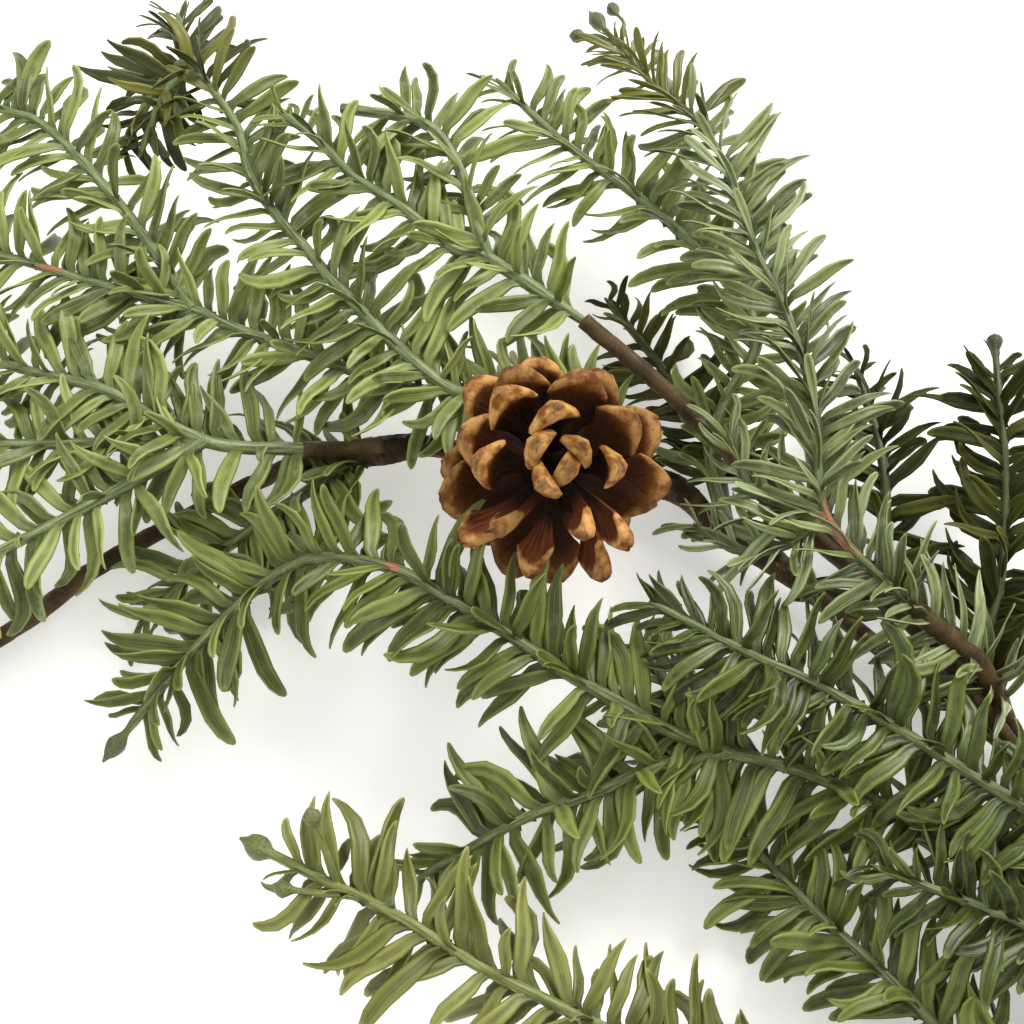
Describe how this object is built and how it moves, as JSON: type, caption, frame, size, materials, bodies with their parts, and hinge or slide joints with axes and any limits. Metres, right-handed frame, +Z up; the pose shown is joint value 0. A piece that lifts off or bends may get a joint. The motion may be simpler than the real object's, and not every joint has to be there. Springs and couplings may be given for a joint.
{
  "type": "pine cone garland",
  "caption": "Short evergreen garland of moulded needle sprays and open pine cones bound on to a bendable paper-taped wire stem, lying on a table.",
  "frame": {"origin": "middle of the garland's footprint on the surface that it lies on", "axes": "+X along the garland from its tip end to its butt end, +Y across it to the back, +Z up"},
  "size_m": [0.8938, 0.3976, 0.079],
  "materials": {
    "foliage": "satin moulded plastic",
    "foliage_young": "satin moulded plastic, yellow-green",
    "foliage_shade": "satin moulded plastic, dark green",
    "paper_tape": "matt crinkled paper tape",
    "core_wire": "drawn wire",
    "cone": "dry cone scales",
    "tie_wire": "green enamelled wire"
  },
  "bodies": {
    "root": {"cone_tie_wire_1": "tie_wire", "cone_tie_wire_2": "tie_wire", "cone_tie_wire_3": "tie_wire", "long_taped_stem": "paper_tape", "pine_cone_left": "cone", "pine_cone_middle": "cone", "pine_cone_right": "cone", "spray_back": "foliage", "spray_back_shade": "foliage_shade", "spray_back_under": "foliage", "spray_corner": "foliage_shade", "spray_far_left_1": "foliage", "spray_far_left_2": "foliage", "spray_far_left_3": "foliage", "spray_far_left_4": "foliage", "spray_far_left_5": "foliage", "spray_far_left_6": "foliage", "spray_far_left_7": "foliage", "spray_far_left_tip": "foliage", "spray_far_right_1": "foliage", "spray_far_right_2": "foliage", "spray_far_right_3": "foliage", "spray_far_right_4": "foliage", "spray_far_right_5": "foliage", "spray_far_right_tip": "foliage", "spray_front": "foliage", "spray_left": "foliage", "spray_low_left": "foliage_young", "spray_lower_middle": "foliage", "spray_lower_right": "foliage", "spray_right_back": "foliage", "spray_right_edge": "foliage_shade", "spray_right_front": "foliage", "spray_right_shade": "foliage_shade", "spray_top_left": "foliage", "spray_under_left": "foliage", "spray_upper_left": "foliage", "stem_core_wire": "core_wire", "stem_paper_tape": "paper_tape", "tape_band_1": "paper_tape", "tape_band_10": "paper_tape", "tape_band_11": "paper_tape", "tape_band_12": "paper_tape", "tape_band_13": "paper_tape", "tape_band_14": "paper_tape", "tape_band_2": "paper_tape", "tape_band_3": "paper_tape", "tape_band_4": "paper_tape", "tape_band_5": "paper_tape", "tape_band_6": "paper_tape", "tape_band_7": "paper_tape", "tape_band_8": "paper_tape", "tape_band_9": "paper_tape"}
  },
  "joints": []
}
